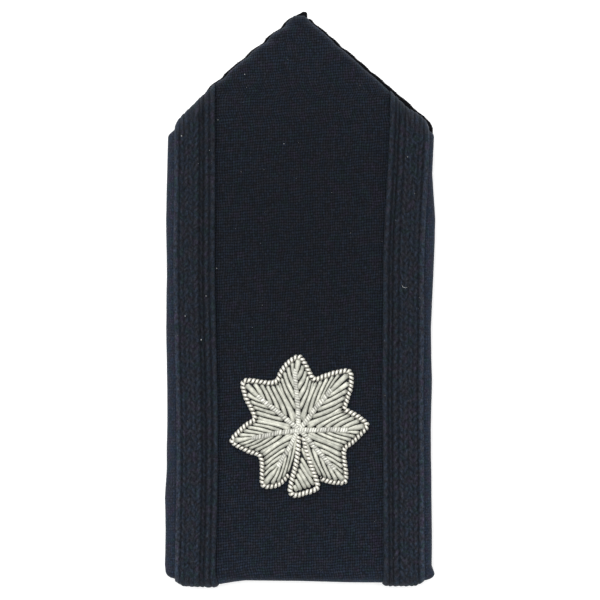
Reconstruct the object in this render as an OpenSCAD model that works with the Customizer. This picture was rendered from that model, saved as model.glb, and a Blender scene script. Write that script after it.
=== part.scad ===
// A padded shoulder board: a cloth-covered board with one pointed end, a ribbed flat
// braid along each side and a seven-lobed leaf worked in bullion near the square end.
// It lies flat with its strap underneath. +Y runs to the point, +Z out of the face,
// and the origin is under the middle of the whole outline.

/* [Board] */
// Length of the cloth-covered board, square end to point
board_l = 127.6; // [112:0.2:145]
// Width of the board at its widest
board_w = 60.8; // [54:0.2:68]
// Thickness of the padded board at the top of its edge roll
board_t = 3.4; // [2.8:0.1:4.6]
// Height of the upright part of the edge, below the roll
edge_wall = 1; // [0.8:0.1:1.6]
// Extra height of the padding along the middle
crown_h = 0.5; // [0:0.1:1.2]
// Slope of the left slanted edge, in degrees off square
slant_left_deg = 42.2; // [38:0.1:46]
// Slope of the right slanted edge, in degrees off square
slant_right_deg = 40.6; // [38:0.1:46]
// Width of the blunt tip between the slanted edges
tip_w = 2; // [1:0.1:4]
// How far the tip stands to the right of the middle
tip_shift = -0.7; // [-1:0.05:1]
// Softness of the two shoulders, where sides meet slanted edges
shoulder_soft = 2; // [0.4:0.1:3]
// Radius of the two corners at the square end
corner_r = 3.4; // [1:0.1:4]
// How far the sides draw in between the square corners and the shoulders
waist_in = 1; // [0:0.05:1]
// Length of one gather along the slanted edges
gather_pitch = 4.6; // [3.6:0.1:7]
// Depth of the gathers along the slanted edges
gather_depth = 0.22; // [0:0.02:0.4]

/* [Backing] */
// Thickness of the cloth underside
backing_t = 1; // [0.8:0.1:2]
// How far the underside peeps out past the left slanted edge
peep_left = 0.35; // [0.2:0.05:1.2]
// How far the underside peeps out past the right slanted edge, and past the tip
peep_right = 0.8; // [0.3:0.05:1.2]
// How far the underside stays back from the other edges
backing_back = 0.5; // [0.2:0.1:2]

/* [Braids] */
// Width of a braid
braid_w = 9.1; // [7.5:0.1:11]
// Thickness of a braid over a rib
braid_t = 1.25; // [0.9:0.05:1.6]
// Depth of the grooves between two ribs
groove_d = 0.4; // [0.2:0.05:0.5]
// Number of ribs across a braid
rib_count = 8; // [6:1:10]
// Strip of board left showing outside each braid
braid_margin = 2.25; // [1.7:0.05:3]
// How far the slanted edges are pressed in under the braids
braid_press = 1.2; // [0:0.1:1.4]

/* [Leaf] */
// Half the width of the leaf, from its middle to the side lobes' tips
leaf_half = 15.3; // [13.6:0.1:16.4]
// Distance of the leaf's middle from the square end
leaf_from_end = 34.2; // [30:0.1:60]
// How far the leaf's middle stands to the left of the board's
leaf_shift = 0.2; // [-0.6:0.1:0.6]
// Thickness of the pad under the embroidery
pad_t = 0.8; // [0.6:0.1:1.4]
// Thickness of one bullion bar
bar_d = 0.7; // [0.6:0.02:0.72]
// Bars on each side of a vein
bars_a_side = 4; // [3:1:4]
// Thickness of a vein
vein_d = 0.96; // [0.8:0.02:1]
// Thickness of the twisted cord round the leaf
edging_d = 1; // [0.8:0.02:1.04]

/* [Strap] */
// Width of the fastening strap under the board
strap_w = 24; // [16:0.5:30]
// Length of the fastening strap
strap_l = 100; // [80:1:104]
// Thickness of the fastening strap
strap_t = 1.4; // [1:0.1:2.4]
// How far the strap stays back from the square end
strap_back = 4; // [1:0.5:8]

/* [Fit] */
// Clearance between pieces that lie on one another
lay_gap = 0.1; // [0.08:0.01:0.16]

/* [Hidden] */
LOBES = 7;

// Heights of the layers, one on another
backing_z = strap_t + lay_gap;
board_z = backing_z + backing_t + lay_gap;
edge_roll = board_t - edge_wall;
roll_z = board_z + edge_wall;

// Ends of the board: the braids stand out past the square end, the underside past the tip
braid_over = lay_gap + braid_t;
overall_l = board_l + braid_over + peep_right;
end_y = braid_over - overall_l / 2;
tip_y = end_y + board_l;

// The sides' shape: share of the board's length, then how far the left and the right side draw
// in there, as shares of waist_in
side_table = [
    [0.00, 0.30, 0.40], [0.03, 0.00, 0.60], [0.09, 0.10, 0.70], [0.15, 0.20, 0.80],
    [0.20, 0.50, 0.90], [0.27, 0.60, 0.95], [0.36, 0.50, 0.80], [0.45, 0.40, 1.00],
    [0.54, 0.50, 0.45], [0.64, 0.30, 0.05], [0.72, 0.50, 0.60], [0.80, 0.70, 0.40], [1.00, 0.70, 0.40]
];

// The braids' sway: share of the board's length, outward shift left and right as shares of braid_w
braid_sway = [
    [0.00, 0.000, 0.000], [0.09, -0.032, -0.026], [0.18, -0.054, -0.023], [0.27, -0.054, -0.030],
    [0.36, -0.030, -0.055], [0.45, 0.000, -0.034], [0.54, 0.027, -0.054], [0.625, 0.014, -0.020],
    [0.71, 0.000, 0.055], [0.80, 0.000, 0.113], [0.86, 0.000, 0.145], [1.00, 0.000, 0.145]
];
// Columns of both tables
LEFT = 1;
RIGHT = 2;

// Shares of the edge roll at which the padded surface has a row or a column of points
roll_steps = [0, 0.05, 0.2, 0.45, 0.75, 1];

// The leaf's lobes, clockwise from the lower left one. Every entry is a point, across and
// along from the leaf's middle, as shares of leaf_half: the vein's end, two points on the way
// up to the tip, the tip, two points on the way down, and the notch before the next lobe.
lobe_table = [
    [[-0.32, -0.57], [-0.27, -0.79], [-0.39, -0.84], [-0.53, -0.83],
        [-0.55, -0.66], [-0.55, -0.50], [-0.59, -0.38]],
    [[-0.72, -0.13], [-0.75, -0.32], [-0.89, -0.25], [-1.00, -0.17],
        [-0.90, -0.04], [-0.78, 0.07], [-0.66, 0.16]],
    [[-0.63, 0.51], [-0.71, 0.32], [-0.79, 0.48], [-0.83, 0.71],
        [-0.63, 0.715], [-0.46, 0.69], [-0.33, 0.72]],
    [[-0.06, 0.91], [-0.265, 0.86], [-0.15, 1.00], [0.00, 1.08],
        [0.10, 0.95], [0.17, 0.81], [0.24, 0.745]],
    [[0.47, 0.60], [0.40, 0.80], [0.57, 0.85], [0.75, 0.86],
        [0.77, 0.66], [0.715, 0.46], [0.675, 0.31]],
    [[0.75, -0.01], [0.76, 0.255], [0.89, 0.18], [1.01, 0.06],
        [0.90, -0.08], [0.79, -0.19], [0.675, -0.28]],
    [[0.54, -0.60], [0.67, -0.45], [0.69, -0.62], [0.68, -0.775],
        [0.54, -0.785], [0.43, -0.765], [0.36, -0.73]]
];
VEIN_END = 0;
// Where the outline starts, beside the stem
leaf_start = [-0.17, -0.69];
KNOTS_A_LOBE = 6;
TIP_KNOT = 3;
NOTCH_KNOT = 6;

// The stem's own cord, from the leaf's middle down, round the foot and back up
stem_points = [
    [-0.03, -0.16], [0.00, -0.30], [-0.04, -0.47], [-0.09, -0.66], [-0.125, -0.83], [-0.125, -0.95],
    [0.03, -0.98], [0.17, -0.945], [0.27, -0.88], [0.275, -0.74], [0.215, -0.59], [0.155, -0.43],
    [0.105, -0.28], [0.055, -0.16]
];
// The slanting bars between the two runs of the stem's cord: left end and right end
stem_bar_table = [
    [[0.03, -0.38], [0.105, -0.47]], [[0.01, -0.50], [0.155, -0.62]],
    [[-0.01, -0.61], [0.185, -0.745]], [[-0.03, -0.71], [0.19, -0.84]], [[-0.05, -0.82], [0.11, -0.885]]
];

// Share of each vein that starts clear of the middle
vein_start = 0.2;
// Where the first and last bar of a half lobe stand, as shares of the way from tip to notch
first_bar = 0.25;
last_bar = 0.8;
// Room left clear of bars round the leaf's middle, as a share of leaf_half
notch_room = 0.36;
SAMPLES = 3;
CORD_SIDES = 8;

function clamp01(v) = max(0, min(1, v));
function mix(a, b, f) = a + (b - a) * f;
function unit(v) = v / norm(v);
// The smaller of two lengths, with a rounded changeover of width k
function soft_min(a, b, k) =
    let (h = clamp01(0.5 + 0.5 * (b - a) / k)) mix(b, a, h) - k * h * (1 - h);
// The column of one side, -1 left or 1 right, of a table
function of_side(table, side) = [for (row = table) [row[0], row[side < 0 ? LEFT : RIGHT]]];

// Half width of the board on one side at y, grown outwards by two margins
function side_half(y, side, out) =
    board_w / 2 - waist_in * lookup((y - end_y) / board_l, of_side(side_table, side)) + out;
function slant_deg(side) = side < 0 ? slant_left_deg : slant_right_deg;
function half_tip(side) = tip_w / 2 + side * tip_shift;
function slant_half(y, side, out) =
    half_tip(side) + (tip_y - y) / tan(slant_deg(side)) + out / sin(slant_deg(side));
// Height at which the slanted edge is x away from the middle
function slant_y(x, side) = tip_y - (x - half_tip(side)) * tan(slant_deg(side));
function corner_in(y, low) =
    let (rise = clamp01((y - low) / corner_r)) corner_r * (1 - sqrt(1 - pow(1 - rise, 2)));
function half_w(y, side, low, out_side, out_slant) =
    soft_min(side_half(y, side, out_side), slant_half(y, side, out_slant), shoulder_soft) - corner_in(y, low);
function shoulder_y(side) = slant_y(board_w / 2, side);

// The braids' own sway and columns, u from 0 at the outer edge to 1 at the inner one
sway_blend = 0.03;
function sway(y, side) =
    let (s = (y - end_y) / board_l, table = of_side(braid_sway, side))
    (lookup(s - sway_blend, table) + lookup(s + sway_blend, table)) / 2 * braid_w;
function braid_x(y, u, side) = side * (board_w / 2 - braid_margin - u * braid_w + sway(y, side));

// The edge is pressed in under a braid, and comes out again over a short run beside it
press_run = 1.5;
function press_in(y, side) =
    let (inner_y = slant_y(abs(braid_x(shoulder_y(side), 1, side)), side))
    braid_press * clamp01((inner_y + press_run - y) / press_run);

// The gathers draw the cloth in along the slanted edges only
function gather_in(y) =
    y < shoulder_y(1) || y > tip_y - gather_pitch / 2
        ? 0
        : gather_depth * (0.5 - 0.5 * cos(360 * (tip_y - gather_pitch / 2 - y) / gather_pitch));
function cloth_half(y, side) = half_w(y, side, end_y, 0, -press_in(y, side)) - gather_in(y);

// Height of the padded surface over a point of the board
function edge_distance(x, y) =
    let (side = x < 0 ? -1 : 1)
    let (from_side = side_half(y, side, 0) - abs(x), from_end = y - end_y)
    let (in_corner = max(from_side, from_end) < corner_r)
    let (corner_gap = corner_r - norm([corner_r - from_side, corner_r - from_end]))
    let (from_square = in_corner ? corner_gap : min(from_side, from_end))
    let (from_slant = (slant_half(y, side, -press_in(y, side)) - abs(x)) * sin(slant_deg(side)))
    max(0, min(from_square, from_slant, tip_y - y));
function roll_h(d) = edge_roll * sqrt(1 - pow(1 - clamp01(d / edge_roll), 2));
// Distance in from the edge over which the crown comes up
crown_run = 3 * edge_roll;
function crown(x, y) =
    crown_h * (1 - pow(2 * x / board_w, 2)) * clamp01(edge_distance(x, y) / crown_run);
function face_z(x, y) = roll_z + roll_h(edge_distance(x, y)) + crown(x, y);

// Rows of the padded surface, from the square end to the tip
low_flat = end_y + edge_roll;
slant_low = min(shoulder_y(-1), shoulder_y(1)) - braid_press - shoulder_soft;
tip_low = tip_y - gather_pitch / 2;
body_rows = 15;
ROWS_A_GATHER = 4;
slant_rows = floor((tip_low - slant_low) / (gather_pitch / ROWS_A_GATHER));
tip_steps = [0.35, 0.65, 0.85, 1];
row_ys = concat(
    [for (s = roll_steps) end_y + s * edge_roll],
    [for (i = [1:body_rows]) mix(low_flat, slant_low, i / body_rows)],
    [for (i = [1:slant_rows]) mix(slant_low, tip_low, i / slant_rows)],
    [for (s = tip_steps) mix(tip_low, tip_y, s)]
);
// Shares of the way from the roll's inner edge to the middle
inner_steps = [0.25, 0.5, 0.75];
// Most of a half row that the roll may take up, near the tip
roll_share = 0.55;

// Distances in from the edge, in one row, of the points on one side
function row_steps(half) =
    let (roll_in = min(edge_roll / sin(slant_left_deg), half * roll_share))
    concat([for (s = roll_steps) s * roll_in], [for (s = inner_steps) mix(roll_in, half, s)]);
function face_row(y) =
    let (left = cloth_half(y, -1), right = cloth_half(y, 1))
    let (mid = (right - left) / 2, half = (right + left) / 2)
    let (steps = row_steps(half), last = len(steps) - 1)
    let (xs = concat([for (s = steps) mid - half + s], [mid], [for (i = [last:-1:0]) mid + half - steps[i]]))
    [for (x = xs) [x, y, face_z(x, y)]];

// Faces of a net of points, m wide and n long, seen from above
function net_faces(m, n) = [
    for (j = [0:n - 2], i = [0:m - 2])
    for (half = [0, 1])
    let (a = j * m + i, b = a + 1, c = a + m, d = c + 1)
    half == 0 ? [a, c, b] : [b, c, d]
];
// Faces that close an end row of that net down to its two foot points
function end_faces(row, foot, m, flip) =
    let (mid = floor(m / 2))
    let (fans = [for (i = [0:m - 2]) [i < mid ? foot : foot + 1, row + i, row + i + 1]])
    [for (f = concat(fans, [[foot, row + mid, foot + 1]])) flip ? [f[0], f[2], f[1]] : f];

// The padded surface is a net of points, with upright walls down to a flat underside
module board_cover() {
    rows = [for (y = row_ys) face_row(y)];
    m = len(rows[0]);
    n = len(rows);
    feet = [for (row = rows) for (p = [row[0], row[m - 1]]) [p.x, p.y, board_z]];
    base = m * n;
    walls = [
        for (j = [0:n - 2])
        let (left = base + 2 * j, right = left + 1, a = j * m, b = a + m - 1)
        for (f = [
            [left, left + 2, a + m, a],
            [right, b, b + m, right + 2],
            [left, right, right + 2, left + 2]
        ]) f
    ];
    ends = concat(
        end_faces(0, base, m, false),
        end_faces((n - 1) * m, base + 2 * (n - 1), m, true)
    );
    color([0.12, 0.13, 0.16])
    polyhedron(
        points = concat([for (row = rows) for (p = row) p], feet),
        faces = concat(net_faces(m, n), walls, ends)
    );
}

// The underside's outline: in line with the board, but out past the slanted edges
backing_end = end_y + backing_back;
backing_tip = tip_y + peep_right;
side_rows = 12;
shoulder_rows = 8;
shoulder_high = slant_low + 3 * shoulder_soft + braid_press;
backing_ys = concat(
    [for (s = roll_steps) backing_end + s * corner_r],
    [for (i = [1:side_rows]) mix(backing_end + corner_r, slant_low, i / side_rows)],
    [for (i = [1:shoulder_rows]) mix(slant_low, shoulder_high, i / shoulder_rows)],
    [backing_tip]
);
function backing_half(y, side) =
    half_w(y, side, backing_end, -backing_back, side < 0 ? peep_left : peep_right);

module backing() {
    left = [for (y = backing_ys) [-backing_half(y, -1), y]];
    right = [for (i = [len(backing_ys) - 1:-1:0]) [backing_half(backing_ys[i], 1), backing_ys[i]]];
    color([0.06, 0.06, 0.07])
    translate([0, 0, backing_z])
    linear_extrude(backing_t) polygon(concat(left, right));
}

// The strap lies under the middle of the board, near its square end, and has round ends
module fastening_strap() {
    run = strap_l - strap_w;
    color([0.08, 0.08, 0.09])
    translate([0, end_y + strap_back + strap_l / 2, 0])
    linear_extrude(strap_t) union() {
        square([strap_w, run], center = true);
        translate([0, run / 2]) circle(d = strap_w, $fn = 64);
        translate([0, -run / 2]) circle(d = strap_w, $fn = 64);
    }
}

// A braid is charted in columns across its ribs and stations along its length. Stations turn
// over the square end and over the slanted edge on a quarter round, then run down the wall.
turn_steps = [22.5, 45, 67.5, 90];
flat_stations = 22;
// Share of the sideways creep that a flat braid has where it turns over a slanted edge
turn_creep = 0.75;
rib_profile = [[0, 0], [0.3, 1], [0.7, 1]];
columns = concat(
    [for (r = [0:rib_count - 1]) for (p = rib_profile) [(r + p[0]) / rib_count, p[1]]],
    [[1, 0]]
);
// Where a column of the braid meets the inner edge of the slanted roll
function slant_start(x, side) = slant_y(abs(x), side) - (edge_roll + braid_press) / cos(slant_deg(side));
function slant_top(u, side) =
    let (near_y = slant_start(braid_x(shoulder_y(side), u, side), side))
    slant_start(braid_x(near_y, u, side), side);

// A braid is stiff and rides a little high where it comes near the roll of a side
roll_ease = 0.35;
// One point of the braid at column share u and height off above the board
function flat_point(u, f, side, off) =
    let (y = mix(low_flat, slant_top(u, side), f), x = braid_x(y, u, side))
    [x, y, face_z(x - side * roll_ease, y) + off];
function end_turn(u, turn, side, off) =
    let (p = flat_point(u, 0, side, 0), reach = (edge_roll + off) * sin(turn))
    [p.x, p.y - reach, mix(p.z, roll_z + edge_roll, sin(turn)) - edge_roll + (edge_roll + off) * cos(turn)];
function slant_turn(u, turn, side, off) =
    let (p = flat_point(u, 1, side, 0), reach = (edge_roll + off) * sin(turn), slope = slant_deg(side))
    let (creep = turn_creep * edge_roll * turn * PI / 180 * tan(slope))
    [p.x + side * (reach * sin(slope) - creep * cos(slope)),
        p.y + reach * cos(slope) + creep * sin(slope),
        mix(p.z, roll_z + edge_roll, sin(turn)) - edge_roll + (edge_roll + off) * cos(turn)];
function drop(p) = [p.x, p.y, board_z];
turns_back = [for (i = [len(turn_steps) - 1:-1:0]) turn_steps[i]];
function braid_line(u, side, off) = concat(
    [drop(end_turn(u, 90, side, off))],
    [for (t = turns_back) end_turn(u, t, side, off)],
    [for (i = [0:flat_stations]) flat_point(u, i / flat_stations, side, off)],
    [for (t = turn_steps) slant_turn(u, t, side, off)],
    [drop(slant_turn(u, 90, side, off))]
);

// Two triangles between the lines p and q of a braid, at stations j and j + 1
function strip(p, q, j, n) =
    let (a = p * n + j, b = q * n + j) [[a, b, a + 1], [b, b + 1, a + 1]];
// A rib's end: its two under points, then its groove, crown and groove points
function rib_end(r, j, n, lows) =
    let (low = r * n + j, top = lows + 3 * r)
    [
        [low, low + n, (top + 3) * n + j], [low, (top + 3) * n + j, (top + 2) * n + j],
        [low, (top + 2) * n + j, (top + 1) * n + j], [low, (top + 1) * n + j, top * n + j]
    ];
function turned_round(faces, turn) = [for (f = faces) turn ? [f[0], f[2], f[1]] : f];

module braid(side) {
    lines = concat(
        [for (r = [0:rib_count]) braid_line(r / rib_count, side, lay_gap)],
        [for (c = columns) braid_line(c[0], side, lay_gap + braid_t - groove_d * (1 - c[1]))]
    );
    n = len(lines[0]);
    lows = rib_count + 1;
    last = len(lines) - 1;
    faces = [
        for (j = [0:n - 2])
        for (f = concat(
            [for (i = [lows:last - 1]) for (t = strip(i, i + 1, j, n)) t],
            [for (i = [0:lows - 2]) for (t = strip(i + 1, i, j, n)) t],
            strip(0, lows, j, n),
            strip(last, lows - 1, j, n)
        )) f
    ];
    near_end = [for (r = [0:rib_count - 1]) for (t = rib_end(r, 0, n, lows)) t];
    far_end = [for (r = [0:rib_count - 1]) for (t = rib_end(r, n - 1, n, lows)) t];
    color([0.14, 0.16, 0.18])
    polyhedron(
        points = [for (line = lines) for (p = line) p],
        faces = turned_round(concat(faces, near_end, turned_round(far_end, true)), side < 0)
    );
}

module braid_left() {
    braid(-1);
}

module braid_right() {
    braid(1);
}

// The leaf's outline as one open curve through its knots, start beside the stem, clockwise
leaf_y = end_y + leaf_from_end;
leaf_mid = [-leaf_shift, leaf_y];
leaf_z = face_z(0, leaf_y) + lay_gap;
function on_leaf(p) = leaf_mid + leaf_half * p;
leaf_knots = concat([leaf_start], [for (row = lobe_table) for (i = [1:KNOTS_A_LOBE]) row[i]]);
function curve_at(knots, t) =
    let (last = len(knots) - 1, i = min(floor(t), last - 1), f = t - i)
    let (p = knots[max(0, i - 1)], q = knots[i], r = knots[i + 1], s = knots[min(last, i + 2)])
    0.5 * (2 * q + (r - p) * f + (2 * p - 5 * q + 4 * r - s) * f * f + (3 * q - p - 3 * r + s) * f * f * f);
function curve_points(knots) =
    let (spans = (len(knots) - 1) * SAMPLES) [for (i = [0:spans]) on_leaf(curve_at(knots, i / SAMPLES))];
function heading(pts, i) = unit(pts[min(len(pts) - 1, i + 1)] - pts[max(0, i - 1)]);

leaf_line = curve_points(leaf_knots);
stem_line = curve_points(stem_points);
// The pad and the tip bars keep a little clear of the cord and of the vein's end
pad_inset = edging_d / 2 + 1.5 * lay_gap;
tip_bar_gap = 2.2 * lay_gap;

// A line of points moved to its right by a distance
function moved_right(pts, d) =
    [for (i = [0:len(pts) - 1]) let (h = heading(pts, i)) pts[i] + d * [h.y, -h.x]];

// A round cord laid on the board along a line of points
module laid_cord(pts) {
    n = len(pts);
    r = edging_d / 2;
    rings = [
        for (i = [0:n - 1], k = [0:CORD_SIDES - 1])
        let (h = heading(pts, i), a = 360 * (k + 0.5) / CORD_SIDES)
        [pts[i].x + r * cos(a) * h.y, pts[i].y - r * cos(a) * h.x, leaf_z + r + r * sin(a)]
    ];
    skin = [
        for (i = [0:n - 2], k = [0:CORD_SIDES - 1])
        for (half = [0, 1])
        let (a = i * CORD_SIDES + k, b = i * CORD_SIDES + (k + 1) % CORD_SIDES)
        half == 0 ? [a, a + CORD_SIDES, b] : [b, a + CORD_SIDES, b + CORD_SIDES]
    ];
    ends = [
        [for (k = [0:CORD_SIDES - 1]) k],
        [for (k = [CORD_SIDES - 1:-1:0]) (n - 1) * CORD_SIDES + k]
    ];
    polyhedron(points = rings, faces = concat(skin, ends));
}

module leaf_edging() {
    color([0.82, 0.81, 0.76]) laid_cord(leaf_line);
}

module stem_edging() {
    color([0.82, 0.81, 0.76]) laid_cord(stem_line);
}

// The pad lies inside the outline cord and stops short of the stem
module leaf_padding() {
    inner = moved_right(leaf_line, pad_inset);
    color([0.3, 0.32, 0.36])
    translate([0, 0, leaf_z])
    linear_extrude(pad_t) difference() {
        polygon(inner);
        polygon(moved_right(stem_line, pad_inset));
    }
}

// A straight bar between two points of the leaf, at one height. Its ends are cut back at the
// rim, by shares of its radius.
bar_flat = 0.6;
bar_cut = 0.5;
module bar(p, q, d, z) {
    run = norm(q - p);
    along = unit(q - p);
    r = d / 2;
    flat = r * bar_flat;
    cut = r * bar_cut;
    translate([p.x, p.y, z + r])
    rotate([0, 90, atan2(along.y, along.x)])
    rotate_extrude($fn = 24)
    polygon([[0, 0], [flat, 0], [r, cut], [r, run - cut], [flat, run], [0, run]]);
}

// Height of the worked surface, on the pad
work_z = leaf_z + pad_t + lay_gap;
function vein_point(lobe, f) = on_leaf(lobe_table[lobe][VEIN_END] * f);

module vein(lobe) {
    color([0.9, 0.9, 0.86]) bar(vein_point(lobe, vein_start), vein_point(lobe, 1), vein_d, work_z);
}

// Bars run from the vein out to the cord, fishbone fashion, on both sides of the vein. Each
// stops short of the vein and of the cord by as much as its slant to them asks.
LEAST_AT_VEIN = 0.2;
LEAST_AT_CORD = 0.5;
function clear_run(along, line, half_d, least) =
    let (slant = max(least, abs(cross(along, line)))) (half_d + lay_gap + bar_d / 2) / slant;
module side_bar(lobe, knot, f) {
    rim = on_leaf(curve_at(leaf_knots, knot));
    rim_line = unit(curve_at(leaf_knots, knot + 0.1) - curve_at(leaf_knots, knot - 0.1));
    root = vein_point(lobe, mix(1, vein_start, f));
    along = unit(rim - root);
    from_root = clear_run(along, unit(lobe_table[lobe][VEIN_END]), vein_d / 2, LEAST_AT_VEIN);
    from_rim = clear_run(along, rim_line, edging_d / 2, LEAST_AT_CORD);
    if (norm(rim - root) - from_root - from_rim > bar_d)
        bar(root + along * from_root, rim - along * from_rim, bar_d, work_z);
}
// One bar goes on from the vein's end to the tip
module tip_bar(lobe) {
    root = vein_point(lobe, 1);
    tip = on_leaf(lobe_table[lobe][TIP_KNOT]);
    along = unit(tip - root);
    bar(root + along * tip_bar_gap, tip - along * (edging_d / 2 + bar_d / 2), bar_d, work_z);
}
// One bar runs out to the notch, between two lobes
module notch_bar(lobe) {
    notch = on_leaf(lobe_table[lobe][NOTCH_KNOT]);
    along = unit(lobe_table[lobe][NOTCH_KNOT]);
    bar(leaf_mid + along * leaf_half * notch_room, notch - along * (edging_d + bar_d / 2), bar_d, work_z);
}
// The halves beside the stem have less room, and one bar fewer
module lobe_bars(lobe) {
    tip_knot = lobe * KNOTS_A_LOBE + TIP_KNOT;
    color([0.84, 0.83, 0.78]) {
        tip_bar(lobe);
        if (lobe < LOBES - 1) notch_bar(lobe);
        for (way = [-1, 1]) {
            by_stem = (lobe == 0 && way < 0) || (lobe == LOBES - 1 && way > 0);
            steps = bars_a_side - (by_stem ? 2 : 1);
            for (i = [0:steps]) {
                f = mix(first_bar, last_bar, i / steps);
                side_bar(lobe, tip_knot + way * TIP_KNOT * f, f);
            }
        }
    }
}

module stem_bars() {
    color([0.84, 0.83, 0.78])
    for (row = stem_bar_table) bar(on_leaf(row[0]), on_leaf(row[1]), bar_d, leaf_z);
}

board_cover();
backing();
fastening_strap();
braid_left();
braid_right();
leaf_padding();
leaf_edging();
stem_edging();
stem_bars();
for (lobe = [1:LOBES]) lobe_bars(lobe - 1);
for (lobe = [1:LOBES]) vein(lobe - 1);
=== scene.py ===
import math
import random

import bmesh
import bpy
import numpy
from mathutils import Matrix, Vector, noise


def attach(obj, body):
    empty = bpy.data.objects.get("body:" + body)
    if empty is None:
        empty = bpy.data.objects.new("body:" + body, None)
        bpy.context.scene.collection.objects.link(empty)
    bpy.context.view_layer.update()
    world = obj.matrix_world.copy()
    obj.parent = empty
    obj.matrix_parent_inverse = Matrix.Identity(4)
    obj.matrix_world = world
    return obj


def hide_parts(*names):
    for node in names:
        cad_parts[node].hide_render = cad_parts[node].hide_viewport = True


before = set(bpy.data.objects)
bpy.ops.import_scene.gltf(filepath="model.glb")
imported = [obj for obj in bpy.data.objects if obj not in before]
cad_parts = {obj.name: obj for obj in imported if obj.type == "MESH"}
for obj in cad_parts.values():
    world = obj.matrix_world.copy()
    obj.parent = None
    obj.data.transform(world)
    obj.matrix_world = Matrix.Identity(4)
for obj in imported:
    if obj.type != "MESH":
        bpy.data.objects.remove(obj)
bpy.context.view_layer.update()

# The board lies on a plain white table. A wide soft light hangs over it, with a weaker one
# beyond the point, and the camera looks straight down through a long lens.
scene = bpy.context.scene
scene.view_settings.view_transform = "Standard"

PHOTO_SPAN = 0.1354
SENSOR = 36
LENS = 135
EDGE_HEIGHT = 0.003
lens_data = bpy.data.cameras.new("overhead_camera")
lens_data.lens = LENS
lens_data.sensor_width = SENSOR
camera = bpy.data.objects.new("overhead_camera", lens_data)
camera.location = (0, 0, EDGE_HEIGHT + PHOTO_SPAN * LENS / SENSOR)
scene.collection.objects.link(camera)
scene.camera = camera


def hang_light(name, size, power, place, colour):
    """Hang a square soft light that points at the board."""
    lamp = bpy.data.lights.new(name, "AREA")
    lamp.shape = "SQUARE"
    lamp.size = size
    lamp.energy = power
    lamp.color = colour
    holder = bpy.data.objects.new(name, lamp)
    holder.location = place
    holder.rotation_euler = Vector(place).to_track_quat("Z", "Y").to_euler()
    scene.collection.objects.link(holder)


hang_light("overhead_light", 1.2, 9.5, (-0.05, 0.1, 0.95), (1, 0.995, 0.98))
hang_light("far_light", 0.5, 4.2, (-0.25, 0.85, 0.6), (0.97, 0.985, 1))

surroundings = bpy.data.worlds.new("soft_surroundings")
surroundings.use_nodes = True
backdrop = surroundings.node_tree.nodes["Background"].inputs
backdrop["Color"].default_value = (0.96, 0.98, 1, 1)
backdrop["Strength"].default_value = 0.5
scene.world = surroundings


def add_node(tree, kind, inputs, **settings):
    """Add a shader node. Inputs are plain values or other nodes' outputs."""
    made = tree.nodes.new("ShaderNode" + kind)
    for name, value in settings.items():
        setattr(made, name, value)
    for name, value in inputs.items():
        if isinstance(value, bpy.types.NodeSocket):
            tree.links.new(value, made.inputs[name])
        else:
            made.inputs[name].default_value = value
    return made


def new_finish(name, **inputs):
    """Start a material from its shader's constant settings, with _ for each space."""
    finish = bpy.data.materials.new(name)
    finish.use_nodes = True
    shader = finish.node_tree.nodes["Principled BSDF"]
    for socket, value in inputs.items():
        shader.inputs[socket.replace("_", " ")].default_value = value
    return finish, finish.node_tree, shader


def blend(tree, share, dark, light):
    """A colour between two, given in red, green and blue."""
    inputs = {"Factor": share, "A": (*dark, 1), "B": (*light, 1)}
    return add_node(tree, "Mix", inputs, data_type="RGBA").outputs["Result"]


table_finish, tree, shader = new_finish(
    "white_table", Roughness=0.9, Emission_Color=(1, 1, 1, 1), Emission_Strength=0.35
)
grain = add_node(tree, "TexNoise", {"Scale": 60, "Detail": 4})
tint = blend(tree, grain.outputs["Fac"], (0.86, 0.86, 0.86), (0.9, 0.9, 0.9))
tree.links.new(tint, shader.inputs["Base Color"])

TABLE_HALF = 1.5
sheet = bmesh.new()
bmesh.ops.create_grid(sheet, x_segments=1, y_segments=1, size=TABLE_HALF)
table_mesh = bpy.data.meshes.new("table_top")
sheet.to_mesh(table_mesh)
sheet.free()
table_mesh.materials.append(table_finish)
table_top = bpy.data.objects.new("table_top", table_mesh)
scene.collection.objects.link(table_top)


# The fastening strap is a plain strip of black leather with round ends, stitched all round.
# It lies under the middle of the board, and only its side and underside can be seen.
MM = 0.001
MERGE = 0.0005
UP = Vector((0, 0, 1))


def make_piece(name, shape, finish, smooth=True):
    """Make an object of a shape drawn in millimetres, merged and with its faces outwards."""
    bmesh.ops.remove_doubles(shape, verts=shape.verts, dist=MERGE)
    bmesh.ops.recalc_face_normals(shape, faces=shape.faces)
    bmesh.ops.scale(shape, vec=(MM, MM, MM), verts=shape.verts)
    for face in shape.faces:
        face.smooth = smooth
    mesh = bpy.data.meshes.new(name)
    shape.to_mesh(mesh)
    shape.free()
    mesh.materials.append(finish)
    piece = bpy.data.objects.new(name, mesh)
    scene.collection.objects.link(piece)
    return piece


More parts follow.
